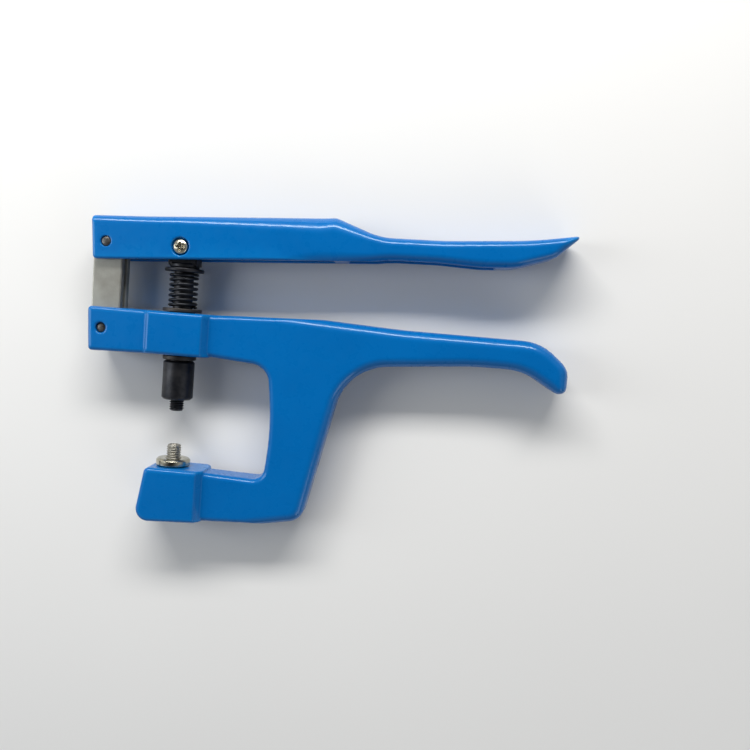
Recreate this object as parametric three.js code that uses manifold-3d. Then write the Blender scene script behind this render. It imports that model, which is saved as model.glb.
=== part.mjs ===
// Snap setter pliers, lying on one side. +X runs along the handles, +Y from the
// lower jaw to the upper handle, and +Z up through the thickness. Lengths are in
// millimetres. The pieces are laid out around the plunger's axis (x = 0) and the
// tool's middle plane (z = 0); the last group moves the origin to the middle of
// the footprint, on the surface that the tool lies on.

import * as THREE from 'three';
import { mergeVertices } from 'three/addons/utils/BufferGeometryUtils.js';
import Module from 'manifold-3d';

const wasm = await Module();
wasm.setup();

// ---------------------------------------------------------------- dimensions

// Extent of the whole tool.
const LEFT = -37.5;
const RIGHT = 160;
const TOP = 61.5;
const BOTTOM = -68.5;

// Half thickness: each casting widens evenly from its left end to its grip's end.
const HALF_ARM = 5.2;
const HALF_HEAD = 7.6;
const HALF_GRIP = 10;
const HALF_NOSE = 8.8;
const HALF_BOSS = 10;
const END_ROUND = 6;
const FACE_CLEARANCE = 0.15;

// Linkage: two link pins, one above the other, and the screw that drives the plunger.
const LINK_X = -31;
const LOW_PIN_Y = 10;
const HIGH_PIN_Y = 45.3;
const DRIVE_Y = 45.3;
const PIN_R = 2;
const PIN_HOLE_R = 2.15;
const LOW_PIN_HALF = 7.9;
const HIGH_PIN_HALF = 7.4;
const LINK_HALF_WIDTH = 6.1;
const LINK_END_R = 6;
const PLATE_INNER_Z = 1.4;
const PLATE_OUTER_Z = 4.4;
const SPACER_R = 3.5;

// Frame.
const ARM_TOP = 18.6;
const ARM_BOTTOM = 1;
const JAW_TOP = -46;
const BOSS_LEFT = -11.3;
const ARM_BOSS_RIGHT = 11.2;
const JAW_BOSS_RIGHT = 12.4;
const BOSS_SLOPE = 3.7;
const BOSS_LEAN = 2.4;
const BOSS_EDGE = 1;
const CORE_EDGE = 1.35;
const NOSE_END = -10;
const FORK_HALF = 4.7;
const FORK_FLOOR = 3.2;
const FORK_END = -24.3;
const BUSH_BORE_R = 5.5;
const ANVIL_BORE_R = 4.15;
const ANVIL_BORE_FLOOR = -58.4;
const LOCK_HOLE_R = 2.25;
const LOCK_BORE_R = 3.8;
const LOCK_BORE_CEILING = -63.6;

// Upper handle.
const HANDLE_TIP = 159.5;
const CHANNEL_HALF = 5.1;
const POCKET_HALF = 5.5;
const SCREW_BORE_R = 3.6;
const NUT_BORE_R = 4.2;
const SCREW_SEAT_Z = 6.55;
const SCREW_HOLE_R = 2.2;

// Plunger, its guides and the die holder.
const ROD_R = 4;
const ROD_BOTTOM = -10;
const ROD_TOP = 36.9;
const SPIGOT_R = 2.5;
const SPIGOT_TOP = 40.8;
const BUSH_INNER_R = 4.15;
const BUSH_OUTER_R = 5.3;
const BUSH_LENGTH = 6.8;
const SEAT_R = 8;
const SEAT_THICKNESS = 1.4;
const COLLAR_FLANGE_R = 6.8;
const COLLAR_FLANGE_THICKNESS = 1.7;
const HEAD_HALF_WIDTH = 6;
const HEAD_END_R = 5.9;
const HEAD_HALF_DEPTH = 4;
const COLLAR_BOTTOM = 37.2;
const COLLAR_TOP = 38.7;
const EYE_R = 3;
const CAP_BOTTOM = 35.4;
const HOLDER_R = 6.4;
const HOLDER_TOP = -1.4;
const HOLDER_BOTTOM = -17.7;
const HOLDER_BORE_FLOOR = -10.4;

// M6 studs that the dies screw onto.
const STUD_R = 3;
const STUD_HOLE_R = 3.1;
const DIE_STUD_BOTTOM = -22.5;
const DIE_STUD_TOP = -11.7;
const ANVIL_STUD_TOP = -37;
const ANVIL_STUD_BOTTOM = -50.3;
const SOCKET_R = 1.7;
const SOCKET_DEPTH = 2;

// Anvil and its lock screw.
const ANVIL_R = 7;
const ANVIL_TOP = -42.7;
const ANVIL_UNDER = -45.7;
const SHANK_R = 4;
const SHANK_BOTTOM = -58;
const LOCK_HEAD_BOTTOM = -66.8;
const LOCK_HEAD_TOP = -63.9;
const LOCK_HEAD_R = 3.4;
const LOCK_SCREW_TOP = -53;

// Return spring.
const COIL_TURNS = 7;
const COIL_R = 5.4;
const WIRE_R = 0.6;

// Drive screw and what is on it.
const SCREW_R = 2;
const SCREW_HEAD_R = 3.1;
const SCREW_HEAD_BACK = 6.75;
const SCREW_HEAD_FRONT = 8.75;
const SCREW_END = -9.4;
const NUT_FRONT = -6.75;
const NUT_BACK = -9.15;
const NUT_CORNER_R = 3.8;
const RECESS_ARM = 3.4;
const RECESS_WIDTH = 0.8;
const RECESS_DEPTH = 0.8;
const DRIVE_BUSH_R = 2.7;
const WASHER_R = 4.5;
const WASHER_INNER_Z = 4.25;
const WASHER_OUTER_Z = 4.85;

// Clearance between faces that meet, and around a shaft in its own hole.
const GAP = 0.3;
const FIT = 0.15;

// How far cutting shapes run out of what they cut, and half the length of those
// that go right through.
const OVERRUN = 5;
const THROUGH_HALF = 12;

// Fineness of round stretches.
const ARC_STEP = THREE.MathUtils.degToRad(7);
const ROUND_SIDES = 32;
const SMALL_SIDES = 24;

// ----------------------------------------------------------------- materials

function finish(color, roughness, metalness) {
  return new THREE.MeshStandardMaterial({ color, roughness, metalness });
}

const bluePaint = () => finish(0x0766b0, 0.28, 0.1);
const blackSteel = () => finish(0x24272b, 0.42, 0.8);
const springSteel = () => finish(0x17191c, 0.38, 0.85);
const brightSteel = () => finish(0x9b9c98, 0.36, 0.95);
const nickelPlate = () => finish(0xc6c8c6, 0.2, 1);
const bronze = () => finish(0x9a7a4c, 0.4, 0.9);

// ------------------------------------------------------- solids and booleans

// A closed mesh as a solid: shared vertices merged, flat-out degenerate faces dropped.
function toSolid(geometry) {
  const bare = geometry.clone();
  bare.deleteAttribute('normal');
  bare.deleteAttribute('uv');
  const merged = mergeVertices(bare, 1e-4);
  const index = merged.index.array;
  const triangles = [];
  for (let i = 0; i < index.length; i += 3) {
    const [a, b, c] = [index[i], index[i + 1], index[i + 2]];
    if (a !== b && b !== c && c !== a) triangles.push(a, b, c);
  }
  return new wasm.Manifold(new wasm.Mesh({
    numProp: 3,
    vertProperties: new Float32Array(merged.attributes.position.array),
    triVerts: new Uint32Array(triangles),
  }));
}

function toGeometry(solid) {
  const mesh = solid.getMesh();
  const geometry = new THREE.BufferGeometry();
  geometry.setAttribute('position', new THREE.BufferAttribute(mesh.vertProperties, 3));
  geometry.setIndex(new THREE.BufferAttribute(mesh.triVerts, 1));
  geometry.computeVertexNormals();
  return geometry;
}

function cut(body, ...tools) {
  return tools.reduce((rest, tool) => rest.subtract(tool), body);
}

function join(first, ...others) {
  return others.reduce((whole, other) => whole.add(other), first);
}

function piece(name, solid, material) {
  const mesh = new THREE.Mesh(toGeometry(solid), material);
  mesh.name = name;
  return mesh;
}

// --------------------------------------------------------------- basic forms

// Outline from [x, y, radius] corners. Each corner is where two straight edges
// would meet, and its radius rounds it.
function outline(corners) {
  const points = [];
  corners.forEach(([x, y, radius], i) => {
    const corner = new THREE.Vector2(x, y);
    const before = corners[(i + corners.length - 1) % corners.length];
    const after = corners[(i + 1) % corners.length];
    const back = new THREE.Vector2(before[0] - x, before[1] - y).normalize();
    const ahead = new THREE.Vector2(after[0] - x, after[1] - y).normalize();
    if (!radius) {
      points.push(corner);
      return;
    }
    const half = Math.acos(THREE.MathUtils.clamp(back.dot(ahead), -1, 1)) / 2;
    const middle = back.clone().add(ahead).normalize();
    const centre = corner.clone().addScaledVector(middle, radius / Math.sin(half));
    const start = corner.clone().addScaledVector(back, radius / Math.tan(half));
    const turn = (Math.PI - 2 * half) * Math.sign(ahead.cross(back));
    const steps = Math.max(1, Math.ceil(Math.abs(turn) / ARC_STEP));
    for (let k = 0; k <= steps; k += 1) {
      points.push(start.clone().rotateAround(centre, turn * k / steps));
    }
  });
  return new THREE.Shape(points);
}

// Plate in the XY plane, centred on z = 0, with rounded edges.
function plate(shape, halfThickness, edge = 0, edgeSteps = 3) {
  const geometry = new THREE.ExtrudeGeometry(shape, {
    depth: 2 * (halfThickness - edge),
    bevelEnabled: edge > 0,
    bevelThickness: edge,
    bevelSize: edge,
    bevelOffset: -edge,
    bevelSegments: edgeSteps,
    curveSegments: ROUND_SIDES / 4,
  });
  geometry.translate(0, 0, -(halfThickness - edge));
  return geometry;
}

// Widens a plate evenly, from leftHalf at the left end to HALF_GRIP at the right.
function widen(geometry, leftHalf) {
  const position = geometry.attributes.position;
  for (let i = 0; i < position.count; i += 1) {
    const share = (position.getX(i) - LEFT) / (RIGHT - LEFT);
    position.setZ(i, position.getZ(i) * (1 + share * (HALF_GRIP / leftHalf - 1)));
  }
  return geometry;
}

// Block that rounds a grip's end as seen from above.
function endTrim(endX) {
  const side = HALF_GRIP + 0.2;
  const shape = outline([
    [LEFT - 10, -side, 0], [endX, -side, END_ROUND],
    [endX, side, END_ROUND], [LEFT - 10, side, 0],
  ]);
  return toSolid(plate(shape, TOP - BOTTOM).rotateX(Math.PI / 2));
}

// Round bar along Y.
function barY(radius, low, high, x = 0, sides = ROUND_SIDES) {
  const geometry = new THREE.CylinderGeometry(radius, radius, high - low, sides);
  geometry.translate(x, (low + high) / 2, 0);
  return toSolid(geometry);
}

// Round bar along Z, centred on (x, y).
function barZ(radius, low, high, x, y, sides = SMALL_SIDES) {
  const geometry = new THREE.CylinderGeometry(radius, radius, high - low, sides);
  geometry.rotateX(Math.PI / 2);
  geometry.translate(x, y, (low + high) / 2);
  return toSolid(geometry);
}

// Turned piece around the plunger's axis, from [radius, y] points, lowest first.
function turned(points, sides = ROUND_SIDES) {
  const profile = points.map(([r, y]) => new THREE.Vector2(r, y));
  return toSolid(new THREE.LatheGeometry(profile, sides));
}

// Round bar along Y with chamfered ends.
function chamferedBar(radius, low, high, chamfer) {
  return turned([
    [0, low], [radius - chamfer, low], [radius, low + chamfer],
    [radius, high - chamfer], [radius - chamfer, high], [0, high],
  ]);
}

// Six-sided socket along Y, open at the given end.
function hexSocketY(radius, low, high) {
  return toSolid(new THREE.CylinderGeometry(radius, radius, high - low, 6)
    .translate(0, (low + high) / 2, 0));
}

// --------------------------------------------------------------------- frame

// Nose, upper arm, throat and lower jaw at their true outline. Past the throat
// the outline runs wide, and the rounded blank trims it.
function coreOutline() {
  return outline([
    [-37, 18.6, 1.5], [12, 18.45, 60], [24, 19, 60], [60, 20.2, 0],
    [64, 27, 0], [172, 27, 0], [172, -59.2, 0],
    [-12.9, -68.95, 5.2], [-9.2, JAW_TOP, 2.2],
    [14, -46.9, 20], [39.6, -47.8, 5], [41.7, -26, 120],
    [38.6, -0.5, 8], [14, 1.4, 60], [-36, 0.4, 1.5],
  ]);
}

function frameCore() {
  return toSolid(widen(plate(coreOutline(), HALF_ARM + FACE_CLEARANCE, CORE_EDGE), HALF_ARM));
}

// Thicker end of the upper arm, which holds the link's fork.
function nose() {
  const whole = toSolid(plate(coreOutline(), HALF_NOSE, CORE_EDGE));
  const box = new THREE.BoxGeometry(NOSE_END - LEFT + OVERRUN, TOP, 2 * THROUGH_HALF);
  box.translate((NOSE_END + LEFT - OVERRUN) / 2, 0, 0);
  return whole.intersect(toSolid(box));
}

// Lower handle, grip end and back of the C at their true outline, with the wide
// rounded edge. Around the nose and the jaw it runs clear of the core.
function frameBlank() {
  const shape = outline([
    [-45, 26, 0], [60, 20.2, 150], [92, 18.6, 200], [148, 18.2, 20],
    [RIGHT, 8, 10], [RIGHT, -4.4, 3.4], [141.6, 6.3, 25], [122, 6.3, 120],
    [70.8, 1.8, 23], [56.5, -63.4, 7], [-45, -83.3, 0],
  ]);
  return toSolid(widen(plate(shape, HALF_ARM, 3, 4), HALF_ARM));
}

// Thick block across an arm. Its flat sides reach from leftFace to rightFace, and
// slope down to the arm beyond them.
function armBoss(corners, leftFace, rightFace) {
  const footZ = HALF_BOSS - BOSS_SLOPE;
  const leftFoot = leftFace - BOSS_LEAN;
  const rightFoot = rightFace + BOSS_LEAN;
  const section = outline([
    [leftFoot, -footZ, 0], [leftFace, -HALF_BOSS, 0],
    [rightFace, -HALF_BOSS, 0], [rightFoot, -footZ, 0],
    [rightFoot, footZ, 0], [rightFace, HALF_BOSS, 0],
    [leftFace, HALF_BOSS, 0], [leftFoot, footZ, 0],
  ]);
  const sloped = toSolid(plate(section, TOP - BOTTOM).rotateX(Math.PI / 2));
  return toSolid(plate(outline(corners), HALF_BOSS, BOSS_EDGE, 2)).intersect(sloped);
}

function forkSlot() {
  const shape = outline([
    [LEFT - OVERRUN, FORK_FLOOR, 0], [FORK_END, FORK_FLOOR, 3],
    [FORK_END, ARM_TOP + OVERRUN, 0], [LEFT - OVERRUN, ARM_TOP + OVERRUN, 0],
  ]);
  return toSolid(plate(shape, FORK_HALF));
}

function frame() {
  const armLeft = BOSS_LEFT - BOSS_LEAN;
  const armRight = ARM_BOSS_RIGHT + BOSS_LEAN;
  const jawRight = JAW_BOSS_RIGHT + BOSS_LEAN;
  const casting = join(
    frameCore().intersect(frameBlank()).intersect(endTrim(RIGHT)),
    nose(),
    armBoss([
      [armLeft, ARM_BOTTOM, 0], [armRight, ARM_BOTTOM, 0],
      [armRight, ARM_TOP, 0], [armLeft, ARM_TOP, 0],
    ], BOSS_LEFT, ARM_BOSS_RIGHT),
    armBoss([
      [-12.9, -68.95, 5.2], [jawRight, -67.46, 0], [jawRight, JAW_TOP, 0],
      [-9.2, JAW_TOP, 2.2],
    ], LEFT, JAW_BOSS_RIGHT),
  );
  return cut(
    casting,
    forkSlot(),
    barZ(PIN_HOLE_R, -THROUGH_HALF, THROUGH_HALF, LINK_X, LOW_PIN_Y),
    barY(BUSH_BORE_R, ARM_BOTTOM - OVERRUN, ARM_TOP + OVERRUN),
    barY(ANVIL_BORE_R, ANVIL_BORE_FLOOR, JAW_TOP + OVERRUN),
    barY(LOCK_HOLE_R, BOTTOM - OVERRUN, ANVIL_BORE_FLOOR + OVERRUN),
    barY(LOCK_BORE_R, BOTTOM - OVERRUN, LOCK_BORE_CEILING),
  );
}

// ------------------------------------------------------------- upper handle

// Head of the handle with its crisp lower edges; past the shoulder it runs wide.
function handleCore() {
  const shape = outline([
    [LEFT - 0.2, 56.4, 2.2], [HANDLE_TIP, 68.5, 0], [HANDLE_TIP, 40, 0],
    [86, 40, 0], [80, 45.2, 0], [-36.3, 37.9, 1.5],
  ]);
  return toSolid(widen(plate(shape, HALF_HEAD + FACE_CLEARANCE, 1), HALF_HEAD));
}

// Crown, shoulder and grip, with the wide rounded edge.
function handleBlank() {
  const shape = outline([
    [-46, 55.4, 0], [-14, 56.8, 300], [62.4, 61.63, 6], [80.5, 54.9, 30],
    [106, 55.3, 150], [140, 57.75, 150], [160.4, 61.1, 0], [150.2, 51.6, 10],
    [135, 46.7, 25], [122, 45.8, 60], [104, 46.4, 80], [84, 45.9, 60],
    [-46, 21.6, 0],
  ]);
  return toSolid(widen(plate(shape, HALF_HEAD, 3.2, 4), HALF_HEAD));
}

// Channel under the head, where the link and the plunger's head work.
function headChannel() {
  const shape = outline([
    [LEFT - OVERRUN, 30, 0], [62, 30, 0], [62, 52, 3],
    [56, 57.6, 4], [LEFT - OVERRUN, 51.3, 0],
  ]);
  return toSolid(plate(shape, CHANNEL_HALF));
}

// Hollow under the grip.
function gripPocket() {
  const shape = outline([
    [68, 30, 0], [128, 30, 0], [127, 52.6, 6], [104, 51.6, 60], [68, 51.2, 4],
  ]);
  return toSolid(plate(shape, POCKET_HALF));
}

function upperHandle() {
  return cut(
    handleCore().intersect(handleBlank()).intersect(endTrim(HANDLE_TIP)),
    headChannel(),
    gripPocket(),
    barZ(PIN_HOLE_R, -THROUGH_HALF, THROUGH_HALF, LINK_X, HIGH_PIN_Y),
    barZ(SCREW_HOLE_R, -THROUGH_HALF, THROUGH_HALF, 0, DRIVE_Y),
    barZ(SCREW_BORE_R, SCREW_SEAT_Z, THROUGH_HALF, 0, DRIVE_Y),
    barZ(NUT_BORE_R, -THROUGH_HALF, -SCREW_SEAT_Z, 0, DRIVE_Y),
  );
}

// ------------------------------------------------------------------ the link

// Flat plate with round ends around both link pins.
function linkPlate(low, high) {
  const left = LINK_X - LINK_HALF_WIDTH;
  const right = LINK_X + LINK_HALF_WIDTH;
  const bottom = LOW_PIN_Y - LINK_HALF_WIDTH;
  const top = HIGH_PIN_Y + LINK_HALF_WIDTH;
  const shape = outline([
    [left, bottom, LINK_END_R], [right, bottom, LINK_END_R],
    [right, top, LINK_END_R], [left, top, LINK_END_R],
  ]);
  const geometry = plate(shape, (high - low) / 2, 0.3, 1);
  geometry.translate(0, 0, (low + high) / 2);
  return cut(
    toSolid(geometry),
    barZ(PIN_HOLE_R, -THROUGH_HALF, THROUGH_HALF, LINK_X, LOW_PIN_Y),
    barZ(PIN_HOLE_R, -THROUGH_HALF, THROUGH_HALF, LINK_X, HIGH_PIN_Y),
  );
}

// Ring that holds the two plates apart.
function linkSpacer(y) {
  const half = PLATE_INNER_Z - GAP;
  return cut(
    barZ(SPACER_R, -half, half, LINK_X, y),
    barZ(PIN_HOLE_R, -THROUGH_HALF, THROUGH_HALF, LINK_X, y),
  );
}

function linkPin(half, y) {
  return barZ(PIN_R, -half, half, LINK_X, y);
}

// ----------------------------------------------------------- plunger and dies

// Flanged bush in the upper arm. Its flange is the spring's lower seat.
function upperGuideBush() {
  const flange = ARM_TOP + GAP;
  return turned([
    [BUSH_INNER_R, flange - BUSH_LENGTH], [BUSH_OUTER_R, flange - BUSH_LENGTH],
    [BUSH_OUTER_R, flange], [SEAT_R, flange],
    [SEAT_R, flange + SEAT_THICKNESS], [BUSH_INNER_R, flange + SEAT_THICKNESS],
    [BUSH_INNER_R, flange - BUSH_LENGTH],
  ]);
}

// Flanged bush under the upper arm, which the die holder stops against.
function lowerGuideBush() {
  const flange = ARM_BOTTOM - GAP;
  return turned([
    [BUSH_INNER_R, flange - COLLAR_FLANGE_THICKNESS],
    [COLLAR_FLANGE_R, flange - COLLAR_FLANGE_THICKNESS], [COLLAR_FLANGE_R, flange],
    [BUSH_OUTER_R, flange], [BUSH_OUTER_R, flange + BUSH_LENGTH],
    [BUSH_INNER_R, flange + BUSH_LENGTH],
    [BUSH_INNER_R, flange - COLLAR_FLANGE_THICKNESS],
  ]);
}

function plungerRod() {
  return turned([
    [0, ROD_BOTTOM], [ROD_R - 0.4, ROD_BOTTOM], [ROD_R, ROD_BOTTOM + 0.4],
    [ROD_R, ROD_TOP], [SPIGOT_R, ROD_TOP], [SPIGOT_R, SPIGOT_TOP], [0, SPIGOT_TOP],
  ]);
}

// Flat eye that the drive screw pushes, on a round collar.
function plungerHead() {
  const top = DRIVE_Y + HEAD_HALF_WIDTH;
  const eye = outline([
    [-HEAD_HALF_WIDTH, COLLAR_TOP - 0.5, 0], [HEAD_HALF_WIDTH, COLLAR_TOP - 0.5, 0],
    [HEAD_HALF_WIDTH, top, HEAD_END_R], [-HEAD_HALF_WIDTH, top, HEAD_END_R],
  ]);
  return cut(
    join(
      toSolid(plate(eye, HEAD_HALF_DEPTH, 0.4, 1)),
      barY(HEAD_HALF_WIDTH, COLLAR_BOTTOM, COLLAR_TOP),
    ),
    barZ(EYE_R, -THROUGH_HALF, THROUGH_HALF, 0, DRIVE_Y, ROUND_SIDES),
    barY(SPIGOT_R + FIT, COLLAR_BOTTOM - 1, SPIGOT_TOP + GAP),
  );
}

// Washer under the plunger's collar that the spring pushes.
function springCap() {
  const bore = ROD_R + 0.25;
  return turned([
    [bore, CAP_BOTTOM], [SEAT_R - 0.4, CAP_BOTTOM], [SEAT_R, CAP_BOTTOM + 0.4],
    [SEAT_R, ROD_TOP - 0.4], [SEAT_R - 0.4, ROD_TOP], [bore, ROD_TOP],
    [bore, CAP_BOTTOM],
  ]);
}

function dieHolder() {
  return cut(
    chamferedBar(HOLDER_R, HOLDER_BOTTOM, HOLDER_TOP, 0.7),
    barY(ROD_R + FIT, HOLDER_BORE_FLOOR, HOLDER_TOP + 1),
    barY(STUD_HOLE_R, HOLDER_BOTTOM - 1, DIE_STUD_TOP + GAP),
  );
}

function dieStud() {
  return cut(
    chamferedBar(STUD_R, DIE_STUD_BOTTOM, DIE_STUD_TOP, 0.5),
    hexSocketY(SOCKET_R, DIE_STUD_BOTTOM - 1, DIE_STUD_BOTTOM + SOCKET_DEPTH),
  );
}

// Coil around the plunger, between the upper bush's flange and the spring cap.
function returnSpring() {
  const low = ARM_TOP + GAP + SEAT_THICKNESS + GAP + WIRE_R;
  const high = CAP_BOTTOM - GAP - WIRE_R;
  class Coil extends THREE.Curve {
    getPoint(t, target = new THREE.Vector3()) {
      const angle = 2 * Math.PI * COIL_TURNS * t;
      return target.set(
        COIL_R * Math.cos(angle), low + (high - low) * t, COIL_R * Math.sin(angle));
    }
  }
  const wire = new THREE.Shape();
  wire.absarc(0, 0, WIRE_R, 0, 2 * Math.PI);
  return toSolid(new THREE.ExtrudeGeometry(wire, {
    steps: 14 * COIL_TURNS, curveSegments: 3, extrudePath: new Coil(),
  }));
}

// --------------------------------------------------------------------- anvil

function anvil() {
  return cut(
    turned([
      [0, SHANK_BOTTOM], [SHANK_R, SHANK_BOTTOM], [SHANK_R, ANVIL_UNDER],
      [ANVIL_R, ANVIL_UNDER], [ANVIL_R, ANVIL_TOP - 0.5],
      [ANVIL_R - 0.5, ANVIL_TOP], [0, ANVIL_TOP],
    ]),
    barY(STUD_HOLE_R, ANVIL_STUD_BOTTOM - GAP, ANVIL_TOP + 1),
    barY(SCREW_R + FIT, SHANK_BOTTOM - 1, LOCK_SCREW_TOP + GAP),
  );
}

function anvilStud() {
  return cut(
    chamferedBar(STUD_R, ANVIL_STUD_BOTTOM, ANVIL_STUD_TOP, 0.5),
    hexSocketY(SOCKET_R, ANVIL_STUD_TOP - SOCKET_DEPTH, ANVIL_STUD_TOP + 1),
  );
}

// Socket-head screw, sunk in the underside of the jaw, that pulls the anvil down.
function anvilLockScrew() {
  return cut(
    turned([
      [0, LOCK_HEAD_BOTTOM], [LOCK_HEAD_R - 0.4, LOCK_HEAD_BOTTOM],
      [LOCK_HEAD_R, LOCK_HEAD_BOTTOM + 0.4],
      [LOCK_HEAD_R, LOCK_HEAD_TOP], [SCREW_R, LOCK_HEAD_TOP],
      [SCREW_R, LOCK_SCREW_TOP], [0, LOCK_SCREW_TOP],
    ]),
    hexSocketY(SOCKET_R, LOCK_HEAD_BOTTOM - 1, LOCK_HEAD_BOTTOM + SOCKET_DEPTH),
  );
}

// --------------------------------------------------------------- drive screw

// Pan-head screw with a cross recess, through both walls of the handle.
function driveScrew() {
  const slot = (long, wide) => toSolid(
    new THREE.BoxGeometry(long, wide, 2 * RECESS_DEPTH).translate(0, DRIVE_Y, SCREW_HEAD_FRONT));
  const head = new THREE.LatheGeometry([
    new THREE.Vector2(0, SCREW_END), new THREE.Vector2(SCREW_R, SCREW_END),
    new THREE.Vector2(SCREW_R, SCREW_HEAD_BACK),
    new THREE.Vector2(SCREW_HEAD_R, SCREW_HEAD_BACK),
    new THREE.Vector2(SCREW_HEAD_R, SCREW_HEAD_FRONT - 1),
    new THREE.Vector2(SCREW_HEAD_R - 0.8, SCREW_HEAD_FRONT - 0.2),
    new THREE.Vector2(0, SCREW_HEAD_FRONT),
  ], SMALL_SIDES);
  head.rotateX(Math.PI / 2);
  head.translate(0, DRIVE_Y, 0);
  return cut(toSolid(head), slot(RECESS_ARM, RECESS_WIDTH), slot(RECESS_WIDTH, RECESS_ARM));
}

function driveNut() {
  const shape = new THREE.Shape();
  for (let i = 0; i < 6; i += 1) {
    const angle = i * Math.PI / 3;
    const x = NUT_CORNER_R * Math.cos(angle);
    const y = DRIVE_Y + NUT_CORNER_R * Math.sin(angle);
    if (i === 0) shape.moveTo(x, y);
    else shape.lineTo(x, y);
  }
  shape.closePath();
  const half = (NUT_FRONT - NUT_BACK) / 2;
  const geometry = plate(shape, half, 0.25, 1);
  geometry.translate(0, 0, (NUT_FRONT + NUT_BACK) / 2);
  return cut(toSolid(geometry), barZ(SCREW_R + FIT, -THROUGH_HALF, 0, 0, DRIVE_Y));
}

// Ring around the drive screw, between the given depths.
function screwRing(radius, low, high) {
  return cut(
    barZ(radius, low, high, 0, DRIVE_Y),
    barZ(SCREW_R + FIT, -THROUGH_HALF, THROUGH_HALF, 0, DRIVE_Y),
  );
}

// ------------------------------------------------------------------ assembly

const tool = new THREE.Group();
tool.position.set(-(LEFT + RIGHT) / 2, -(TOP + BOTTOM) / 2, HALF_BOSS);

const frameBody = new THREE.Group();
frameBody.add(
  piece('frame', frame(), bluePaint()),
  piece('upper_guide_bush', upperGuideBush(), bronze()),
  piece('lower_guide_bush', lowerGuideBush(), bronze()),
  piece('return_spring', returnSpring(), springSteel()),
  piece('anvil', anvil(), nickelPlate()),
  piece('anvil_stud', anvilStud(), brightSteel()),
  piece('anvil_lock_screw', anvilLockScrew(), blackSteel()),
  piece('lower_link_pin', linkPin(LOW_PIN_HALF, LOW_PIN_Y), brightSteel()),
);

const linkBody = new THREE.Group();
linkBody.add(
  piece('link_plate_front', linkPlate(PLATE_INNER_Z, PLATE_OUTER_Z), brightSteel()),
  piece('link_plate_rear', linkPlate(-PLATE_OUTER_Z, -PLATE_INNER_Z), brightSteel()),
  piece('lower_link_spacer', linkSpacer(LOW_PIN_Y), brightSteel()),
  piece('upper_link_spacer', linkSpacer(HIGH_PIN_Y), brightSteel()),
);

const handleBody = new THREE.Group();
handleBody.add(
  piece('upper_handle', upperHandle(), bluePaint()),
  piece('upper_link_pin', linkPin(HIGH_PIN_HALF, HIGH_PIN_Y), brightSteel()),
  piece('drive_screw', driveScrew(), nickelPlate()),
  piece('drive_nut', driveNut(), nickelPlate()),
  piece('drive_bush', screwRing(DRIVE_BUSH_R, -HEAD_HALF_DEPTH, HEAD_HALF_DEPTH), bronze()),
  piece('drive_washer_front', screwRing(WASHER_R, WASHER_INNER_Z, WASHER_OUTER_Z), brightSteel()),
  piece('drive_washer_rear', screwRing(WASHER_R, -WASHER_OUTER_Z, -WASHER_INNER_Z), brightSteel()),
);

const plungerBody = new THREE.Group();
plungerBody.add(
  piece('plunger_rod', plungerRod(), blackSteel()),
  piece('plunger_head', plungerHead(), blackSteel()),
  piece('spring_cap', springCap(), blackSteel()),
  piece('die_holder', dieHolder(), blackSteel()),
  piece('die_stud', dieStud(), brightSteel()),
);

tool.add(frameBody, linkBody, handleBody, plungerBody);

export default tool;
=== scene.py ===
"""Looks of the snap setter pliers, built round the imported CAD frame.

Shapes are worked out in millimetres in the tool's own layout: the plunger's axis
is x = 0 and z = 0, y points from the lower jaw to the upper handle, and z through
the thickness. mesh_piece() moves them into the row frame, in metres.
"""
import math

import bpy
import numpy as np
from mathutils import Matrix, Vector


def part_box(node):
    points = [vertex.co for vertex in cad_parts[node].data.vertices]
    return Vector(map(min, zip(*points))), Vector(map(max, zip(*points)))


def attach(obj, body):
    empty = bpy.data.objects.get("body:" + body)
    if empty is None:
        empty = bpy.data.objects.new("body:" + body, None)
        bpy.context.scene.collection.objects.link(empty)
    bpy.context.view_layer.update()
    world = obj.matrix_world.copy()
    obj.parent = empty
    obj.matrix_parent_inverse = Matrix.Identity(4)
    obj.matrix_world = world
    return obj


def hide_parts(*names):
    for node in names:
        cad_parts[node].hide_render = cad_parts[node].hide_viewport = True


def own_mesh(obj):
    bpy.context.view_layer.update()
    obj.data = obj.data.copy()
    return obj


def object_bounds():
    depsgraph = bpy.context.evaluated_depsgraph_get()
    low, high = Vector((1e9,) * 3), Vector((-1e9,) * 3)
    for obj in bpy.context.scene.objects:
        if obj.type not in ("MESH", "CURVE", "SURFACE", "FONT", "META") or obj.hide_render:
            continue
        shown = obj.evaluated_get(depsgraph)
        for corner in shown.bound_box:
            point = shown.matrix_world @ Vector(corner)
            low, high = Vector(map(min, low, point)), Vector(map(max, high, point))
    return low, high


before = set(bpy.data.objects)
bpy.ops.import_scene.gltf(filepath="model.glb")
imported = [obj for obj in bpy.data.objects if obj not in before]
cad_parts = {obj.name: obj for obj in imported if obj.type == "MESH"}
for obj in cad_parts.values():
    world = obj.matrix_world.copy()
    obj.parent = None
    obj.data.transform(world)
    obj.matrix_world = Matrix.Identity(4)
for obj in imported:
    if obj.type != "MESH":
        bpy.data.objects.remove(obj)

CAD_LOW, CAD_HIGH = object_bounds()
ROD_LOW, ROD_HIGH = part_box("plunger_rod")
ROD_BOTTOM = -10.0
ORIGIN = np.array([
    (ROD_LOW.x + ROD_HIGH.x) / 2,
    ROD_LOW.y - ROD_BOTTOM / 1000,
    (ROD_LOW.z + ROD_HIGH.z) / 2,
])


# ------------------------------------------------------------ places and sizes

def layout_box(node):
    """Lowest and highest corner of a CAD node, in the layout's millimetres."""
    low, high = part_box(node)
    return (np.array(low) - ORIGIN) * 1000, (np.array(high) - ORIGIN) * 1000


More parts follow.
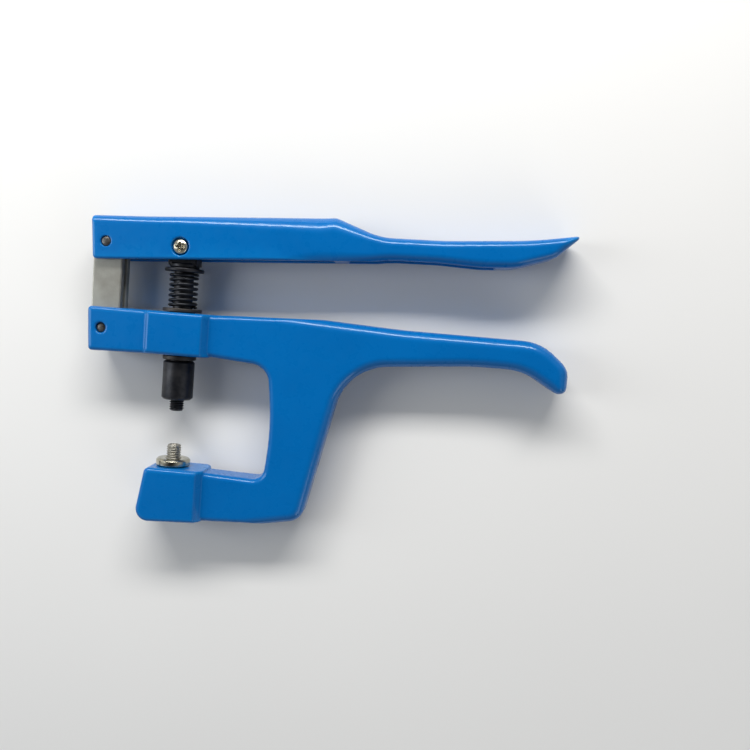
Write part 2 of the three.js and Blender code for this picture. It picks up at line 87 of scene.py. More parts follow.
LEFT, TIP = (corner[0] for corner in layout_box("upper_handle"))
RIGHT = layout_box("frame")[1][0]
HALF_ARM, HALF_HEAD, HALF_GRIP = 5.2, 7.6, 10.0
HALF_NOSE, HALF_BOSS = 8.8, 10.0
HALF_FORK, HALF_CHANNEL, HALF_POCKET = 4.7, 5.1, 5.5
NOSE_END = -10.0
BOSS_LEFT, ARM_BOSS_RIGHT, JAW_BOSS_RIGHT = -11.3, 11.2, 12.4
BOSS_LEAN, BOSS_DROP = 2.4, 3.7
BOSS_ANGLE = math.atan2(BOSS_DROP, BOSS_LEAN)
ARM_TOP, ARM_BOTTOM, JAW_TOP = 18.6, 1.0, -46.0
LINK_X, LOW_PIN_Y, HIGH_PIN_Y, DRIVE_Y = -31.0, 10.0, 45.3, 45.3
PIN_HOLE_R, PLUNGER_HOLE_R, SOCKET_R = 2.15, 4.15, 1.7
STUD_R, THREAD_PITCH = 3.0, 1.0


# ---------------------------------------------------------------- plane curves

def rounded(corners, closed=True, step=4.0):
    """Points of a line through [x, y, radius] corners, each rounded by its radius."""
    points = []
    count = len(corners)
    for i, (x, y, radius) in enumerate(corners):
        corner = np.array([x, y], float)
        if radius <= 0 or (not closed and i in (0, count - 1)):
            points.append(corner)
            continue
        before = np.array(corners[(i - 1) % count][:2], float) - corner
        after = np.array(corners[(i + 1) % count][:2], float) - corner
        before /= np.linalg.norm(before)
        after /= np.linalg.norm(after)
        half = math.acos(max(-1.0, min(1.0, float(before @ after)))) / 2
        middle = before + after
        middle /= np.linalg.norm(middle)
        centre = corner + middle * radius / math.sin(half)
        start = corner + before * radius / math.tan(half)
        turn = math.pi - 2 * half
        if after[0] * before[1] - after[1] * before[0] < 0:
            turn = -turn
        steps = max(1, math.ceil(abs(math.degrees(turn)) / step))
        for k in range(steps + 1):
            a = turn * k / steps
            c, s = math.cos(a), math.sin(a)
            dx, dy = start - centre
            points.append(centre + np.array([c * dx - s * dy, s * dx + c * dy]))
    return np.array(points)


# ------------------------------------------------------------ distance fields
# Each field gives the distance to a surface, in millimetres, negative inside.

def polygon(points, x, y):
    """Distance to a closed plane outline."""
    x, y = np.broadcast_arrays(x, y)
    nearest = np.full(x.shape, 1e9, np.float32)
    inside = np.zeros(x.shape, bool)
    for (ax, ay), (bx, by) in zip(points, np.roll(points, -1, axis=0)):
        ex, ey = bx - ax, by - ay
        px, py = x - np.float32(ax), y - np.float32(ay)
        t = np.clip((px * ex + py * ey) / (ex * ex + ey * ey), 0, 1)
        nearest = np.minimum(nearest, (px - t * ex) ** 2 + (py - t * ey) ** 2)
        if ey:
            inside ^= ((ay > y) != (by > y)) & (px < ex * py / ey)
    return np.sqrt(nearest) * np.where(inside, -1, 1).astype(np.float32)


def rounded_edge(side, face, radius):
    """A side and a face, with a round edge between them."""
    a, b = side + radius, face + radius
    outer = np.sqrt(np.maximum(a, 0) ** 2 + np.maximum(b, 0) ** 2)
    return np.minimum(np.maximum(a, b), 0) + outer - radius


def meet(a, b, soft=0.0):
    """What lies in both, with the edge between them softened."""
    sharp = np.maximum(a, b)
    if not soft:
        return sharp
    return sharp + np.maximum(soft - abs(a - b), 0) ** 2 / (4 * soft)


def both(a, b, soft=0.0):
    """What lies in either, with a fillet between them."""
    return -meet(-a, -b, soft)


def without(a, b, soft=0.25):
    """What lies in the first only, with the edge of the cut softened."""
    return meet(a, -b, soft)


def bar_z(x, y, z, cx, cy, radius, low=-50.0, high=50.0):
    """A round bar along z."""
    side = np.sqrt((x - cx) ** 2 + (y - cy) ** 2) - radius
    return meet(side, np.maximum(low - z, z - high))


def bar_y(x, y, z, radius, low, high):
    """A round bar on the plunger's axis."""
    side = np.sqrt(x ** 2 + z ** 2) - radius
    return meet(side, np.maximum(low - y, y - high))


def half_thickness(x, left_half):
    """Half thickness of a casting, which widens evenly towards its grip's end."""
    return left_half + (HALF_GRIP - left_half) * (x - LEFT) / (RIGHT - LEFT)


def grip_end(x, z, end):
    """Rounds a grip's end as seen from above."""
    return rounded_edge(x - end, abs(z) - HALF_GRIP - 0.2, 6.0)


# -------------------------------------------------------------- field to mesh

def field_mesh(field, low, high, step):
    """Vertices and faces of the surface where the field is zero."""
    axes = [np.arange(a - 2.13 * step, b + 2.5 * step, step, dtype=np.float32)
            for a, b in zip(low, high)]
    x, y, z = axes[0][:, None, None], axes[1][None, :, None], axes[2][None, None, :]
    d = np.broadcast_to(field(x, y, z), tuple(len(a) for a in axes)).astype(np.float32)
    negative = d < 0
    cells = tuple(n - 1 for n in d.shape)
    corners = [(i, j, k) for i in (0, 1) for j in (0, 1) for k in (0, 1)]

    def corner_of(array, c):
        return array[tuple(slice(o, o + n) for o, n in zip(c, cells))]

    count = sum(corner_of(negative, c).astype(np.int8) for c in corners)
    active = np.argwhere((count > 0) & (count < 8))
    number = np.full(cells, -1, np.int64)
    number[tuple(active.T)] = np.arange(len(active))
    total = np.zeros((len(active), 3))
    hits = np.zeros(len(active))
    for a in corners:
        for axis in range(3):
            if a[axis]:
                continue
            b = list(a)
            b[axis] = 1
            da = d[tuple((active + a).T)]
            db = d[tuple((active + b).T)]
            cut = (da < 0) != (db < 0)
            t = np.where(cut, da / np.where(cut, da - db, 1), 0)
            point = np.array(a, float)[None, :] + t[:, None] * (np.array(b) - a)
            total += point * cut[:, None]
            hits += cut
    start = np.array([a[0] for a in axes], float)
    points = start + (active + total / hits[:, None]) * step
    faces = []
    for axis in range(3):
        u, v = (axis + 1) % 3, (axis + 2) % 3
        here = [slice(1, -1)] * 3
        here[axis] = slice(0, -1)
        there = list(here)
        there[axis] = slice(1, None)
        one, two = negative[tuple(here)], negative[tuple(there)]
        for sign in (True, False):
            at = np.argwhere((one == sign) & (two != sign))
            at[:, u] += 1
            at[:, v] += 1
            quad = []
            for du, dv in ((1, 1), (0, 1), (0, 0), (1, 0)):
                cell = at.copy()
                cell[:, u] -= du
                cell[:, v] -= dv
                quad.append(number[tuple(cell.T)])
            quad = np.stack(quad, 1)
            faces.append(quad if sign else quad[:, ::-1])
    return points, np.concatenate(faces)


def slopes(field, points, reach):
    """Field values and unit outward directions at points."""
    p = points.astype(np.float64)
    value = field(*p.T)
    slope = np.stack([
        field(*(p + reach * np.eye(3)[i]).T) - field(*(p - reach * np.eye(3)[i]).T)
        for i in range(3)
    ], 1) / (2 * reach)
    size = np.linalg.norm(slope, axis=1)
    return value, slope / np.maximum(size, 1e-6)[:, None], size


# ------------------------------------------------------------ Blender meshes

def mesh_piece(name, points, faces, body, nodes, material):
    """A smooth-shaded mesh from layout millimetres, on its body."""
    mesh = bpy.data.meshes.new(name)
    places = np.asarray(points) / 1000 + ORIGIN
    mesh.from_pydata(places.tolist(), [], [[int(i) for i in face] for face in faces])
    mesh.validate()
    mesh.polygons.foreach_set("use_smooth", [True] * len(mesh.polygons))
    mesh.materials.append(material)
    piece = bpy.data.objects.new(name, mesh)
    bpy.context.scene.collection.objects.link(piece)
    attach(piece, body)
    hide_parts(*nodes)
    return piece


def apply_modifiers(piece):
    """Puts what the modifiers make in the place of the piece's mesh."""
    evaluated = piece.evaluated_get(bpy.context.evaluated_depsgraph_get())
    mesh = bpy.data.meshes.new_from_object(evaluated)
    mesh.name = piece.name
    piece.modifiers.clear()
    piece.data = mesh
    mesh.polygons.foreach_set("use_smooth", [True] * len(mesh.polygons))


def point_values(mesh, name, values):
    """Keeps a number at each point, for a material to read."""
    layer = mesh.attributes.new(name, "FLOAT", "POINT")
    layer.data.foreach_set("value", np.asarray(values, np.float32))


def refined(name, field, step, smoothing, keep, body, node, material):
    """A piece meshed from its field, drawn onto it, softened and thinned."""
    points, faces = field_mesh(field, *layout_box(node), step)
    value, outward, size = slopes(field, points, 0.12 * step)
    sound = (size > 0.9)[:, None]
    points = points - np.where(sound, outward * value[:, None], 0)
    piece = mesh_piece(name, points, faces, body, [node], material)
    smooth = piece.modifiers.new("soften", "SMOOTH")
    smooth.factor, smooth.iterations = 0.5, smoothing
    thin = piece.modifiers.new("thin", "DECIMATE")
    thin.ratio = keep
    apply_modifiers(piece)
    return piece


def casting(name, field, outside, body, node):
    """A painted casting that keeps, at each point of its outside, how far it stands out on an edge
    and how deep it lies in a hollow, for the enamel's painted edge highlight and painted shade.
    """
    piece = refined(name, field, 0.42, 2, 0.3, body, node, ENAMEL)
    at = (np.array([v.co for v in piece.data.vertices], float) - ORIGIN) * 1000
    value, outward = slopes(outside, at, 0.3)[:2]
    skin = value > -0.4
    reach = 2.6
    # How far the point stands out on an edge: the enamel paints a highlight there.
    edge_highlight = reach + outside(*(at - outward * reach).T) - value
    # How deep the point lies in a hollow: the enamel paints shade there.
    hollow_shade = reach - outside(*(at + outward * reach).T) + value
    point_values(piece.data, "edge_highlight", np.where(skin, np.clip(edge_highlight / reach, 0, 1), 0))
    point_values(piece.data, "hollow_shade", np.where(skin, np.clip(hollow_shade / reach, 0, 1), 0.3))
    return piece


def revolve(rings, sides, close_loop=False):
    """Faces between rings of equal length. A ring with one point is a pole."""
    points, faces, starts = [], [], []
    for ring in rings:
        starts.append(len(points))
        points.extend(ring)
    count = len(rings)
    for i in range(count if close_loop else count - 1):
        a, b = rings[i], rings[(i + 1) % count]
        sa, sb = starts[i], starts[(i + 1) % count]
        for k in range(sides):
            n = (k + 1) % sides
            if len(a) == 1:
                faces.append((sa, sb + n, sb + k))
            elif len(b) == 1:
                faces.append((sa + k, sa + n, sb))
            else:
                faces.append((sa + k, sa + n, sb + n, sb + k))
    return np.array(points), faces


def ring_points(radius, along, sides, axis, centre=(0.0, 0.0)):
    """One ring across an axis. Along and radius may differ round the ring."""
    angle = np.arange(sides) * 2 * math.pi / sides
    r = np.broadcast_to(radius, sides)
    h = np.broadcast_to(along, sides)
    if axis == "y":
        return np.stack([r * np.cos(angle), h, -r * np.sin(angle)], 1)
    return np.stack([centre[0] + r * np.cos(angle), centre[1] + r * np.sin(angle), h], 1)


def pole(along, axis, centre=(0.0, 0.0)):
    """A ring closed to one point on the axis."""
    return np.array([[0.0, along, 0.0]] if axis == "y" else [[centre[0], centre[1], along]])


def turned(name, corners, body, node, material, axis="y", centre=(0.0, 0.0),
           sides=72, closed=False):
    """A turned piece from [radius, along, fillet] corners, lowest outside first."""
    line = rounded(corners, closed, 15.0)
    rings = []
    for r, h in line:
        if r < 1e-6:
            rings.append(pole(h, axis, centre))
        else:
            rings.append(ring_points(r, h, sides, axis, centre))
    points, faces = revolve(rings, sides, closed)
    return mesh_piece(name, points, faces, body, [node], material)


def hexagon(across_corners, sides):
    """Radius of a hexagon round a ring."""
    angle = np.arange(sides) * 2 * math.pi / sides
    inner = across_corners * math.cos(math.pi / 6)
    return inner / np.cos((angle + math.pi / 6) % (math.pi / 3) - math.pi / 6)


def socket_rings(mouth, depth, sides):
    """Rings of a six-sided socket along y, from its mouth to its floor."""
    inward = math.copysign(1, depth)
    rings = [
        ring_points(hexagon(SOCKET_R + wider, sides), along, sides, "y")
        for wider, along in ((0.15, mouth), (0, mouth + inward * 0.12),
                             (0, mouth + depth - inward * 0.05), (-0.1, mouth + depth))
    ]
    return rings + [pole(mouth + depth + inward * 0.25, "y")]


def threaded_stud(name, low, high, socket_at_top, body, node, material):
    """A stud with an M6 thread, chamfered ends and a six-sided socket."""
    sides, rows_per_turn = 60, 10
    root = STUD_R - 0.54 * THREAD_PITCH
    angle = np.arange(sides) * 2 * math.pi / sides
    rings = []
    rows = int((high - low) / THREAD_PITCH * rows_per_turn) + 1
    for h in np.linspace(low, high, rows):
        phase = (h / THREAD_PITCH - angle / (2 * math.pi)) % 1.0
        rise = np.clip((1 - abs(2 * phase - 1) - 0.125) / 0.7, 0, 1)
        radius = root + (STUD_R - 0.02 - root) * rise
        end = min(h - low, high - h)
        rings.append(ring_points(np.minimum(radius, root - 0.1 + end), h, sides, "y"))
    if socket_at_top:
        rings = [pole(low, "y")] + rings + socket_rings(high, -2.0, sides)
    else:
        rings = socket_rings(low, 2.0, sides)[::-1] + rings + [pole(high, "y")]
    points, faces = revolve(rings, sides)
    return mesh_piece(name, points, faces, body, [node], material)


# ------------------------------------------------------------------ materials

class Shader:
    """A Principled material and short ways to add nodes to it."""

    def __init__(self, name, color, roughness, metallic, **sockets):
        self.material = bpy.data.materials.new(name)
        self.material.use_nodes = True
        self.tree = self.material.node_tree
        self.tree.nodes.clear()
        self.output = self.tree.nodes.new("ShaderNodeOutputMaterial")
        self.main = self.tree.nodes.new("ShaderNodeBsdfPrincipled")
        self.link(self.main.outputs[0], self.output.inputs["Surface"])
        self.main.inputs["Base Color"].default_value = (*color, 1)
        self.main.inputs["Roughness"].default_value = roughness
        self.main.inputs["Metallic"].default_value = metallic
        for key, value in sockets.items():
            self.main.inputs[key.replace("_", " ")].default_value = value
        self.place = self.tree.nodes.new("ShaderNodeTexCoord").outputs["Object"]

    def link(self, a, b):
        self.tree.links.new(a, b)

    def put(self, socket, value):
        """Links a socket, or sets a plain value."""
        if isinstance(value, bpy.types.NodeSocket):
            self.link(value, socket)
        else:
            socket.default_value = value

    def stretched(self, scale):
        """Object coordinates, scaled by a different amount each way."""
        node = self.tree.nodes.new("ShaderNodeMapping")
        node.inputs["Scale"].default_value = scale
        self.link(self.place, node.inputs["Vector"])
        return node.outputs[0]

    def noise(self, scale, detail=3.0, rough=0.5, where=None):
        node = self.tree.nodes.new("ShaderNodeTexNoise")
        node.inputs["Scale"].default_value = scale
        node.inputs["Detail"].default_value = detail
        node.inputs["Roughness"].default_value = rough
        self.link(where or self.place, node.inputs["Vector"])
        return node.outputs[0]

    def cells(self, scale):
        node = self.tree.nodes.new("ShaderNodeTexVoronoi")
        node.inputs["Scale"].default_value = scale
        self.link(self.place, node.inputs["Vector"])
        return node.outputs["Distance"]

    def lathe_lines(self, scale, distortion, detail):
        """Fine bands along y."""
        node = self.tree.nodes.new("ShaderNodeTexWave")
        node.bands_direction = "Y"
        node.inputs["Scale"].default_value = scale
        node.inputs["Distortion"].default_value = distortion
        node.inputs["Detail"].default_value = detail
        node.inputs["Detail Scale"].default_value = 2.0
        self.link(self.place, node.inputs["Vector"])
        return node.outputs["Fac"]

    def kept(self, name):
        """A number kept at each point of the mesh."""
        node = self.tree.nodes.new("ShaderNodeAttribute")
        node.attribute_name = name
        return node.outputs["Fac"]

    def ranged(self, value, low, high, to_low=0.0, to_high=1.0):
        """Moves a value from one range to another, and holds it there."""
        node = self.tree.nodes.new("ShaderNodeMapRange")
        node.inputs["From Min"].default_value = low
        node.inputs["From Max"].default_value = high
        node.inputs["To Min"].default_value = to_low
        node.inputs["To Max"].default_value = to_high
        self.link(value, node.inputs["Value"])
        return node.outputs[0]

    def math(self, kind, a, b):
        node = self.tree.nodes.new("ShaderNodeMath")
        node.operation = kind
        self.put(node.inputs[0], a)
        self.put(node.inputs[1], b)
        return node.outputs[0]

    def mix(self, share, a, b):
        node = self.tree.nodes.new("ShaderNodeMix")
        node.data_type = "RGBA"
        self.put(node.inputs["Factor"], share)
        for socket, value in ((node.inputs[6], a), (node.inputs[7], b)):
            self.put(socket, (*value, 1) if isinstance(value, tuple) else value)
        return node.outputs[2]

    def bump(self, height, strength, depth, under=None):
        node = self.tree.nodes.new("ShaderNodeBump")
        node.inputs["Strength"].default_value = strength
        node.inputs["Distance"].default_value = depth
        self.link(height, node.inputs["Height"])
        if under:
            self.link(under, node.inputs["Normal"])
        return node.outputs[0]

    def finish(self, color, roughness=None, normal=None, coat=None):
        for name, value in (("Base Color", color), ("Roughness", roughness),
                            ("Normal", normal), ("Coat Normal", coat)):
            if value is not None:
                self.link(value, self.main.inputs[name])
        return self.material


PAINT = (0.0004, 0.122, 0.392)
# Darker blue: random mottling, and painted shade in hollows.
PAINT_MOTTLE_AND_SHADE = (0.0002, 0.094, 0.322)
# Lighter blue: painted highlight on crisp edges, also as thinner paint there.
PAINT_EDGE_HIGHLIGHT = (0.003, 0.190, 0.510)


def blue_enamel():
    """Glossy enamel: orange peel, dust specks, a painted highlight on crisp edges (lighter blue,
    also as thinner paint there), painted shade in hollows (darker blue).
    """
    s = Shader("blue_enamel", PAINT, 0.3, 0.0, Coat_Weight=0.35, Coat_Roughness=0.06,
               Specular_IOR_Level=0.2, Specular_Tint=(0.5, 0.85, 1.0, 1.0))
    cloud = s.ranged(s.noise(38, 4), 0.35, 0.65)
    base = s.mix(s.math("MULTIPLY", cloud, 0.3), PAINT, PAINT_MOTTLE_AND_SHADE)
    # Painted shade: darker blue in hollows and inner corners.
    hollow_shaded = s.mix(s.math("MULTIPLY", s.ranged(s.kept("hollow_shade"), 0.15, 0.9), 0.7), base, PAINT_MOTTLE_AND_SHADE)
    ragged = s.math("MULTIPLY", s.noise(300, 4), 0.25)
    # Painted highlight: lighter blue along crisp outer edges, also as thinner paint there.
    thin = s.ranged(s.math("ADD", s.kept("edge_highlight"), ragged), 0.3, 0.75)
    color = s.mix(s.math("MULTIPLY", thin, 0.45), hollow_shaded, PAINT_EDGE_HIGHLIGHT)
    rough = s.ranged(s.noise(260, 5), 0.3, 0.7, 0.24, 0.36)
    cast = s.bump(s.noise(90, 3), 0.15, 0.0005)
    peel = s.bump(s.noise(520, 2), 0.2, 0.0002, cast)
    speck = s.ranged(s.cells(200), 0.0, 0.08, 1.0, 0.0)
    normal = s.bump(speck, 0.2, 0.0001, peel)
    return s.finish(color=color, roughness=rough, normal=normal, coat=peel)


def oxide_steel():
    """Turned steel blackened in oil: fine lathe lines, uneven colour."""
    s = Shader("black_oxide_steel", (0.02, 0.022, 0.026), 0.4, 0.7)
    blotch = s.ranged(s.noise(170, 5, 0.6), 0.35, 0.7)
    color = s.mix(blotch, (0.011, 0.013, 0.018), (0.04, 0.04, 0.044))
    lines = s.lathe_lines(1900, 1.2, 3)
    rough = s.ranged(s.noise(600, 4), 0.25, 0.75, 0.28, 0.46)
    normal = s.bump(lines, 0.18, 0.00004, s.bump(s.noise(1400, 3), 0.1, 0.00005))
    return s.finish(color=color, roughness=rough, normal=normal)


def spring_wire():
    """Drawn wire, blackened, with fine marks along it."""
    s = Shader("black_spring_wire", (0.012, 0.013, 0.016), 0.34, 0.7)
    color = s.mix(s.noise(500, 4), (0.007, 0.009, 0.012), (0.03, 0.032, 0.038))
    drawn = s.noise(900, 2, 0.5, s.stretched((1.0, 6.0, 1.0)))
    rough = s.ranged(drawn, 0.3, 0.7, 0.26, 0.42)
    return s.finish(color=color, roughness=rough, normal=s.bump(drawn, 0.15, 0.00004))


def bare_steel():
    """Rolled and stamped steel: long fine scratches, faint warm stains."""
    s = Shader("bare_steel", (0.36, 0.36, 0.33), 0.4, 0.7)
    grain = s.noise(380, 6, 0.7, s.stretched((9.0, 0.5, 9.0)))
    stain = s.ranged(s.noise(75, 4, 0.6), 0.4, 0.75)
    color = s.mix(s.math("MULTIPLY", stain, 0.7), (0.36, 0.36, 0.325), (0.2, 0.19, 0.165))
    rough = s.ranged(grain, 0.3, 0.7, 0.3, 0.52)
    return s.finish(color=color, roughness=rough, normal=s.bump(grain, 0.25, 0.00005))


def turned_steel(name, light, dark):
    """Machined steel with rings from the lathe."""
    s = Shader(name, light, 0.34, 0.85)
    stain = s.ranged(s.noise(160, 4, 0.6), 0.35, 0.75)
    color = s.mix(s.math("MULTIPLY", stain, 0.7), light, dark)
    rough = s.ranged(s.noise(700, 3), 0.3, 0.7, 0.26, 0.44)
    rings = s.lathe_lines(1700, 0.8, 2)
    return s.finish(color=color, roughness=rough, normal=s.bump(rings, 0.15, 0.00003))


def nickel():
    """Bright plating with a warm cast and faint water marks."""
    s = Shader("nickel_plate", (0.52, 0.5, 0.42), 0.18, 1.0)
    color = s.mix(s.ranged(s.noise(220, 4), 0.4, 0.7), (0.54, 0.52, 0.43), (0.38, 0.35, 0.26))
    rough = s.ranged(s.noise(900, 4), 0.3, 0.7, 0.14, 0.28)
    return s.finish(color=color, roughness=rough, normal=s.bump(s.noise(1500, 2), 0.08, 0.00003))


def sintered_bronze():
    """Pressed bronze: open pores, dull, nearly black-brown."""
    s = Shader("sintered_bronze", (0.05, 0.045, 0.042), 0.5, 0.75)
    pores = s.ranged(s.cells(2600), 0.0, 0.3, 1.0, 0.0)
    color = s.mix(s.math("MULTIPLY", pores, 0.7), (0.056, 0.05, 0.046), (0.014, 0.012, 0.011))
    rough = s.ranged(s.noise(500, 4), 0.3, 0.7, 0.4, 0.58)
    return s.finish(color=color, roughness=rough, normal=s.bump(pores, 0.3, 0.00004))


ENAMEL = blue_enamel()
OXIDE = oxide_steel()
WIRE = spring_wire()
STEEL = bare_steel()
TURNED = turned_steel("turned_steel", (0.38, 0.37, 0.33), (0.2, 0.185, 0.15))
# Pin steel: a darker copy of the turned steel, painted shade for the pins sunk in their holes.
SHADED_PIN_STEEL = turned_steel("shaded_pin_steel", (0.13, 0.13, 0.125), (0.05, 0.052, 0.055))
NICKEL = nickel()
BRONZE = sintered_bronze()


# ------------------------------------------------------------------- the frame

JAW_HEEL, JAW_LIP = [-12.9, -68.83, 5.2], [-9.2, JAW_TOP, 2.2]
FRAME_CORE = rounded([
    [-37, 18.6, 1.5], [12, 18.45, 60], [24, 19, 60], [60, 20.2, 0], [64, 27, 0],
    [172, 27, 0], [172, -59.2, 0], JAW_HEEL, JAW_LIP, [14, -46.9, 20],
    [39.6, -47.8, 5], [41.7, -26, 120], [38.6, -0.5, 8], [14, 1.4, 60], [-36, 0.4, 1.5],
])
FRAME_BLANK = rounded([
    [-45, 26, 0], [60, 20.2, 150], [92, 18.6, 200], [148, 18.2, 20],
    [RIGHT, 8, 10], [RIGHT, -4.4, 3.4], [141.6, 6.3, 25], [122, 6.3, 120],
    [70.8, 1.8, 23], [56.5, -63.4, 7], [-45, -83.3, 0],
], step=2.0)
ARM_BOSS_ENDS = (BOSS_LEFT - BOSS_LEAN, ARM_BOSS_RIGHT + BOSS_LEAN)
ARM_BOSS = rounded([
    [ARM_BOSS_ENDS[0], ARM_BOTTOM, 0], [ARM_BOSS_ENDS[1], ARM_BOTTOM, 0],
    [ARM_BOSS_ENDS[1], ARM_TOP, 0], [ARM_BOSS_ENDS[0], ARM_TOP, 0],
])
JAW_BOSS_END = JAW_BOSS_RIGHT + BOSS_LEAN
JAW_BOSS = rounded([JAW_HEEL, [JAW_BOSS_END, -67.46, 0], [JAW_BOSS_END, JAW_TOP, 0], JAW_LIP])
FORK = rounded([[-45, 3.2, 0], [-24.3, 3.2, 3], [-24.3, 26, 0], [-45, 26, 0]])


def boss(outline, x, y, z, left, right):
    """Thick block across an arm. Beyond left and right its sides slope back to the arm."""
    up = abs(z) - HALF_BOSS
    block = rounded_edge(polygon(outline, x, y), up, 1.7)
    slope = math.sin(BOSS_ANGLE) * np.maximum(x - right, left - x) + math.cos(BOSS_ANGLE) * up
    return meet(block, slope, 0.5)


def frame_outside(x, y, z):
    """The casting before its fork, bores and holes."""
    face = abs(z) - half_thickness(x, HALF_ARM)
    outline = polygon(FRAME_CORE, x, y)
    core = rounded_edge(outline, face, 2.2)
    blank = rounded_edge(polygon(FRAME_BLANK, x, y), face, 4.2)
    body = meet(meet(core, blank), grip_end(x, z, RIGHT), 0.8)
    nose = meet(rounded_edge(outline, abs(z) - HALF_NOSE, 1.7), x - NOSE_END)
    body = both(body, nose, 0.6)
    body = both(body, boss(ARM_BOSS, x, y, z, BOSS_LEFT, ARM_BOSS_RIGHT), 0.4)
    return both(body, boss(JAW_BOSS, x, y, z, LEFT, JAW_BOSS_RIGHT), 0.4)


def frame_field(x, y, z):
    """The casting with its fork, pin hole, and the bores for bushes, anvil and lock screw."""
    fork = np.maximum(polygon(FORK, x, y), abs(z) - HALF_FORK)
    body = without(frame_outside(x, y, z), fork)
    body = without(body, bar_z(x, y, z, LINK_X, LOW_PIN_Y, PIN_HOLE_R))
    for radius, low, high in ((5.5, ARM_BOTTOM - 5, ARM_TOP + 5), (4.15, -58.4, JAW_TOP + 5),
                              (2.25, -75.0, -57.0), (3.8, -75.0, -63.6)):
        body = without(body, bar_y(x, y, z, radius, low, high))
    return body


casting("frame_casting", frame_field, frame_outside, "frame", "frame")


# ------------------------------------------------------------ the upper handle

HANDLE_CORE = rounded([
    [LEFT - 0.17, 56.4, 2.2], [TIP, 68.5, 0], [TIP, 40, 0], [86, 40, 0], [80, 45.2, 0],
    [-36.3, 37.9, 1.5],
])
HANDLE_BLANK = rounded([
    [-46, 55.4, 0], [-14, 56.8, 300], [62.4, 61.63, 6], [80.5, 54.9, 30],
    [106, 55.3, 150], [140, 57.75, 150], [160.4, 61.1, 0.6], [150.2, 51.6, 10],
    [135, 46.7, 25], [122, 45.8, 60], [104, 46.4, 80], [84, 45.9, 60],
    [-46, 21.6, 0],
], step=2.0)
HEAD_CHANNEL = rounded([[-45, 30, 0], [62, 30, 0], [62, 52, 3], [56, 57.6, 4], [-45, 51.3, 0]])
GRIP_POCKET = rounded([[68, 30, 0], [128, 30, 0], [127, 52.6, 6], [104, 51.6, 60], [68, 51.2, 4]])


def crown_edge(x):
    """Radius of the handle's edge: it widens towards the shoulder, then narrows."""
    return np.interp(x, (LEFT, 0, 56, 78, RIGHT), (3.3, 4.0, 7.0, 3.6, 3.2)).astype(np.float32)


def handle_outside(x, y, z):
    """The casting before its channel, pocket and holes."""
    face = abs(z) - half_thickness(x, HALF_HEAD)
    core = rounded_edge(polygon(HANDLE_CORE, x, y), face, 1.0)
    blank = rounded_edge(polygon(HANDLE_BLANK, x, y), face, crown_edge(x))
    return meet(meet(core, blank), grip_end(x, z, TIP), 0.8)


def handle_field(x, y, z):
    """The casting with its hollows, pin hole, and the drive screw's hole and recesses."""
    recess_r, nut_recess_r, floor_z = 3.6, 4.2, 6.55
    body = handle_outside(x, y, z)
    body = without(body, np.maximum(polygon(HEAD_CHANNEL, x, y), abs(z) - HALF_CHANNEL), 0.5)
    body = without(body, np.maximum(polygon(GRIP_POCKET, x, y), abs(z) - HALF_POCKET), 0.5)
    body = without(body, bar_z(x, y, z, LINK_X, HIGH_PIN_Y, PIN_HOLE_R))
    body = without(body, bar_z(x, y, z, 0, DRIVE_Y, 2.2))
    body = without(body, bar_z(x, y, z, 0, DRIVE_Y, recess_r, floor_z, 20.0))
    return without(body, bar_z(x, y, z, 0, DRIVE_Y, nut_recess_r, -20.0, -floor_z))


casting("upper_handle_casting", handle_field, handle_outside, "handle", "upper_handle")


# -------------------------------------------------------------------- the link

LINK_OUTLINE = rounded([
    [LINK_X - 6.1, LOW_PIN_Y - 6.1, 6], [LINK_X + 6.1, LOW_PIN_Y - 6.1, 6],
    [LINK_X + 6.1, HIGH_PIN_Y + 6.1, 6], [LINK_X - 6.1, HIGH_PIN_Y + 6.1, 6],
])


def link_plate(name, node):
    """A flat plate with round ends and a hole for each link pin."""
    low, high = layout_box(node)
    middle, half = (low[2] + high[2]) / 2, (high[2] - low[2]) / 2

    def field(x, y, z):
        body = rounded_edge(polygon(LINK_OUTLINE, x, y), abs(z - middle) - half, 0.45)
        body = without(body, bar_z(x, y, z, LINK_X, LOW_PIN_Y, PIN_HOLE_R), 0.4)
        return without(body, bar_z(x, y, z, LINK_X, HIGH_PIN_Y, PIN_HOLE_R), 0.4)

    refined(name, field, 0.24, 1, 0.45, "link", node, STEEL)


link_plate("link_plate_front_stamped", "link_plate_front")
link_plate("link_plate_rear_stamped", "link_plate_rear")


def ring_z(name, node, edge, body, material, centre):
    """A ring along z round a pin or the drive screw, sized by its CAD node."""
    low, high = layout_box(node)
    outer = (high[1] - low[1]) / 2
    turned(name, [
        [PIN_HOLE_R, low[2], edge], [outer, low[2], edge],
        [outer, high[2], edge], [PIN_HOLE_R, high[2], edge],
    ], body, node, material, "z", centre, 64, True)


for PLACE, PIN_Y in (("lower", LOW_PIN_Y), ("upper", HIGH_PIN_Y)):
    ring_z(PLACE + "_link_spacer_ring", PLACE + "_link_spacer", 0.2, "link",
           TURNED, (LINK_X, PIN_Y))


def pin_z(name, node, body, y):
    """A link pin with chamfered, slightly domed ends."""
    low, high = layout_box(node)
    r, dome = 2.0, 0.25
    # Its steel is darkened as painted shade of the pin's recess.
    turned(name, [
        [0, low[2], 0], [r - 0.9, low[2] + 0.05, 0.6], [r - 0.25, low[2] + dome, 0.2],
        [r, low[2] + 2 * dome, 0.2], [r, high[2] - 2 * dome, 0.2],
        [r - 0.25, high[2] - dome, 0.2], [r - 0.9, high[2] - 0.05, 0.6], [0, high[2], 0],
    ], body, node, SHADED_PIN_STEEL, "z", (LINK_X, y), 48)


pin_z("lower_link_pin_turned", "lower_link_pin", "frame", LOW_PIN_Y)
pin_z("upper_link_pin_turned", "upper_link_pin", "handle", HIGH_PIN_Y)


# --------------------------------------------------------- plunger and its dies

